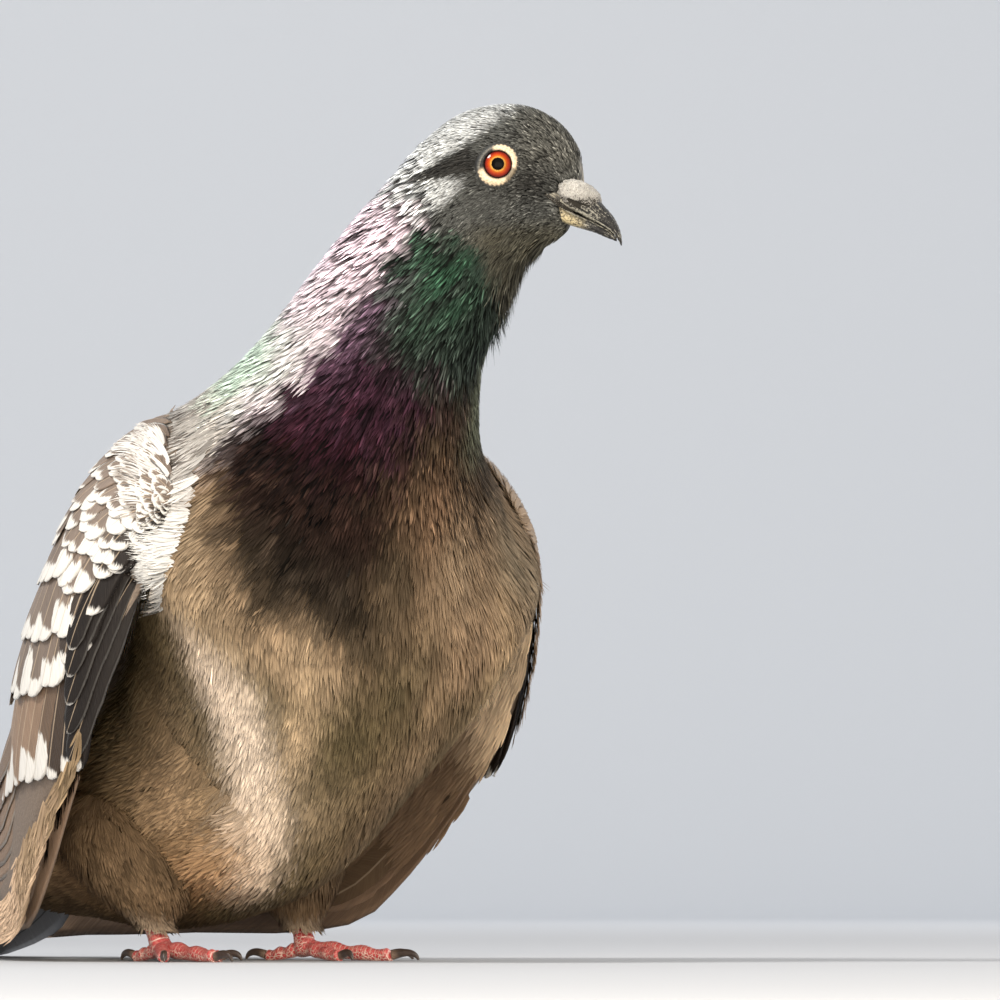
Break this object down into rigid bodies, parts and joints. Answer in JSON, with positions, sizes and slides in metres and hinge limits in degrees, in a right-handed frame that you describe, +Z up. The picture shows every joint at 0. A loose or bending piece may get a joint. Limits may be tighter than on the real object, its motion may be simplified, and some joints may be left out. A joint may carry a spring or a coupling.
{
  "type": "pigeon",
  "caption": "Standing rock pigeon, life size, head turned to its left, scale-patterned wings folded, glossy green and purple neck.",
  "frame": {"origin": "on the floor under the middle of the part's box", "axes": "+Y towards the tail's tip and -Y where the breast faces, +X towards the bird's left, +Z up"},
  "size_m": [0.1354, 0.2806, 0.207],
  "materials": {
    "head_feathers": "matte",
    "neck_feathers": "satin",
    "body_feathers": "matte",
    "wing_coverts": "matte",
    "flight_feathers": "satin",
    "tail_feathers": "matte",
    "horn": "satin",
    "cere": "matte",
    "iris": "gloss",
    "leg_skin": "satin"
  },
  "bodies": {
    "root": {"bill_lower": "horn", "bill_upper": "horn", "cere": "cere", "claw_hind_left": "horn", "claw_hind_right": "horn", "claw_inner_left": "horn", "claw_inner_right": "horn", "claw_middle_left": "horn", "claw_middle_right": "horn", "claw_outer_left": "horn", "claw_outer_right": "horn", "eye_left": "iris", "eye_right": "iris", "flight_feathers_left": "flight_feathers", "flight_feathers_right": "flight_feathers", "head": "head_feathers", "leg_left": "leg_skin", "leg_right": "leg_skin", "neck": "neck_feathers", "tail": "tail_feathers", "thigh_left": "body_feathers", "thigh_right": "body_feathers", "trunk": "body_feathers", "wing_left": "wing_coverts", "wing_right": "wing_coverts"}
  },
  "joints": []
}
